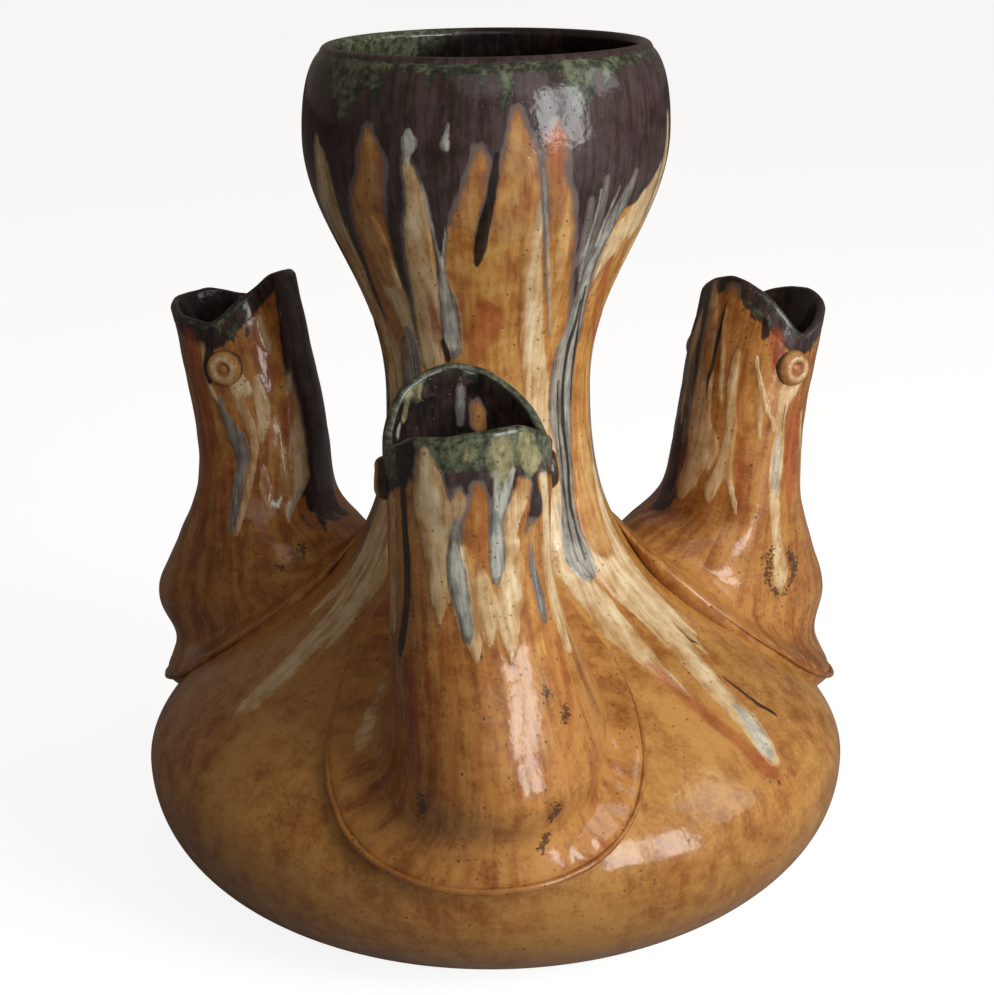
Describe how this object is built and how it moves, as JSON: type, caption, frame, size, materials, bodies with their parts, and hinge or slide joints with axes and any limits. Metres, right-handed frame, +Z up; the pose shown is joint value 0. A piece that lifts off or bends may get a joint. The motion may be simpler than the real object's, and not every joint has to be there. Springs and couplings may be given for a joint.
{
  "type": "stoneware vase",
  "caption": "Squat stoneware vase with a narrow neck, a cup-shaped mouth and upright fish-head spouts standing round its shoulder on flared skirts.",
  "frame": {"origin": "middle of the flat foot, on the surface that the vase stands on", "axes": "+Z up along the turned body's axis; the front spout faces -Y and +X is to the right seen from the front"},
  "size_m": [0.2108, 0.221, 0.2498],
  "materials": {
    "amber_glaze": "satin amber stoneware glaze with fine dark specks and cream runs",
    "streaked_glaze": "glossy stoneware glaze run down in cream, orange and blue-grey streaks",
    "plum_glaze": "dark plum glaze breaking to grey-green at the lip, over streaked tan and orange",
    "spout_glaze": "glossy amber-brown glaze with a green lip and cream and blue-grey runs",
    "coil_glaze": "amber-brown stoneware glaze, darker where it pools",
    "eye_glaze": "tan stoneware glaze with a darker ring"
  },
  "bodies": {
    "root": {"body_bulb": "amber_glaze", "neck": "streaked_glaze", "mouth_cup": "plum_glaze", "front_spout": "spout_glaze", "front_skirt_coil": "coil_glaze", "front_spout_left_eye": "eye_glaze", "front_spout_right_eye": "eye_glaze", "right_spout": "spout_glaze", "right_skirt_coil": "coil_glaze", "right_spout_left_eye": "eye_glaze", "right_spout_right_eye": "eye_glaze", "left_spout": "spout_glaze", "left_skirt_coil": "coil_glaze", "left_spout_left_eye": "eye_glaze", "left_spout_right_eye": "eye_glaze"}
  },
  "joints": []
}
